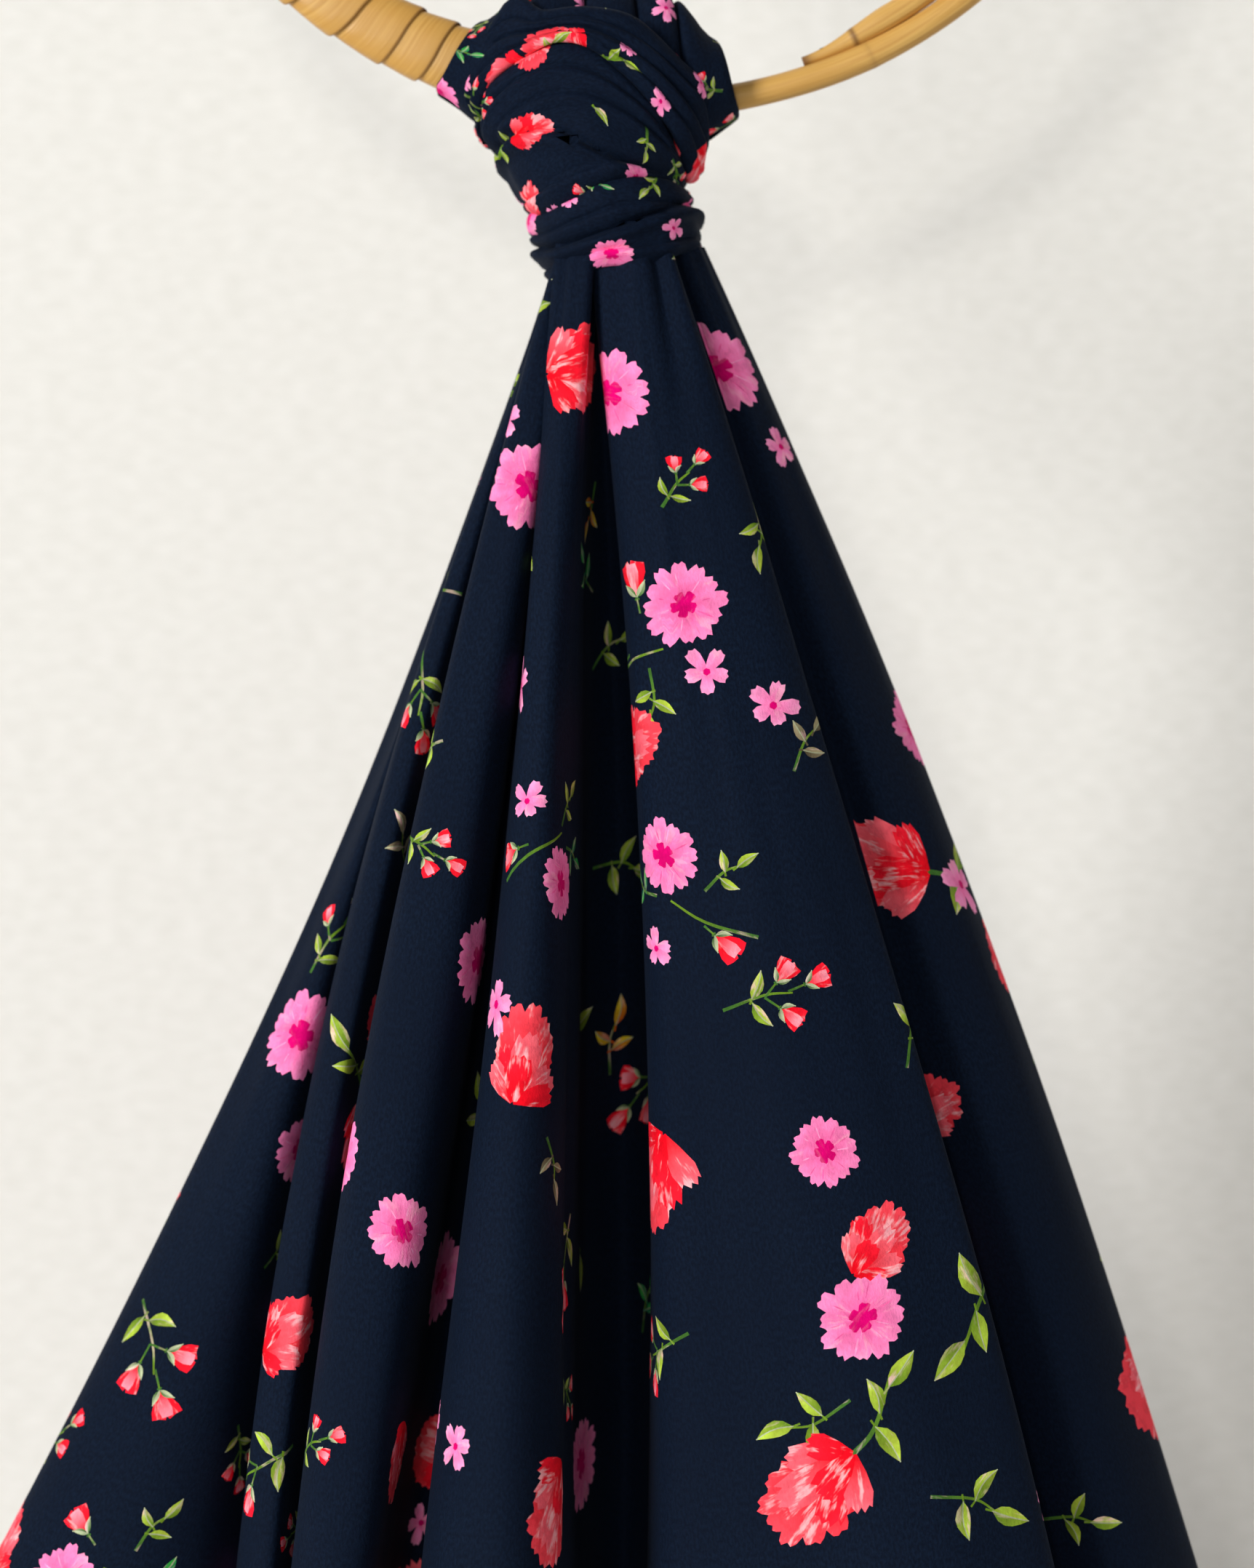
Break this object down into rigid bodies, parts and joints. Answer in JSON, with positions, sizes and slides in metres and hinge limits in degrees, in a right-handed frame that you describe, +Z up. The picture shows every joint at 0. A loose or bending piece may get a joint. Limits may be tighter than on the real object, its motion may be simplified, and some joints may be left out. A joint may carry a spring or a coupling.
{
  "type": "wrap-style soft baby carrier hung on a hoop",
  "caption": "Long printed cloth for carrying a baby, knotted round a rattan hoop that hangs it up, falling below the knot in a pleated drape.",
  "frame": {"origin": "the hanging point: the inside of the hoop's top, where it rests on a hook", "axes": "+Z up, +X to the right as the drape is seen from its front, +Y to the back, along the hoop's axis"},
  "size_m": [0.4244, 0.1493, 0.8924],
  "materials": {
    "rattan": "peeled willow or rattan, satin",
    "cane": "flat split cane, satin",
    "brad_metal": "dull brown steel",
    "cloth": "matte crepe, dark navy with a scattered print of red and pink flowers and green leaves"
  },
  "bodies": {
    "hoop": {"rod_outer": "rattan", "rod_inner": "rattan", "cane_binding": "cane", "splice_brads": "brad_metal"},
    "loop": {"cloth_loop": "cloth"},
    "knot": {"knot_core": "cloth", "knot_turn_upper": "cloth", "knot_turn_lower": "cloth"},
    "tail": {"cloth_tail": "cloth"},
    "neck": {"cloth_neck": "cloth"},
    "drape_top": {"drape_upper": "cloth"},
    "drape_bottom": {"drape_lower": "cloth"}
  },
  "joints": [
    {"name": "knot_slide", "type": "hinge", "parent": "hoop", "child": "loop", "pos_m": [0, 0, -0.13535], "axis": [0, 1, 0], "range_deg": [-25, 25]},
    {"name": "knot_tilt", "type": "hinge", "parent": "loop", "child": "knot", "pos_m": [0, 0, -0.27955], "axis": [1, 0, 0], "range_deg": [-18, 12]},
    {"name": "tail_lift", "type": "hinge", "parent": "knot", "child": "tail", "pos_m": [0, 0.025, -0.32755], "axis": [1, 0, 0], "range_deg": [0, 35]},
    {"name": "drape_sway", "type": "hinge", "parent": "knot", "child": "neck", "pos_m": [0, 0, -0.33805], "axis": [0, 1, 0], "range_deg": [-12, 12]},
    {"name": "drape_swing", "type": "hinge", "parent": "neck", "child": "drape_top", "pos_m": [0, 0, -0.35805], "axis": [1, 0, 0], "range_deg": [-24, 5]},
    {"name": "hem_lift", "type": "hinge", "parent": "drape_top", "child": "drape_bottom", "pos_m": [0, -0.01, -0.56605], "axis": [1, 0, 0], "range_deg": [-25, 12]}
  ]
}
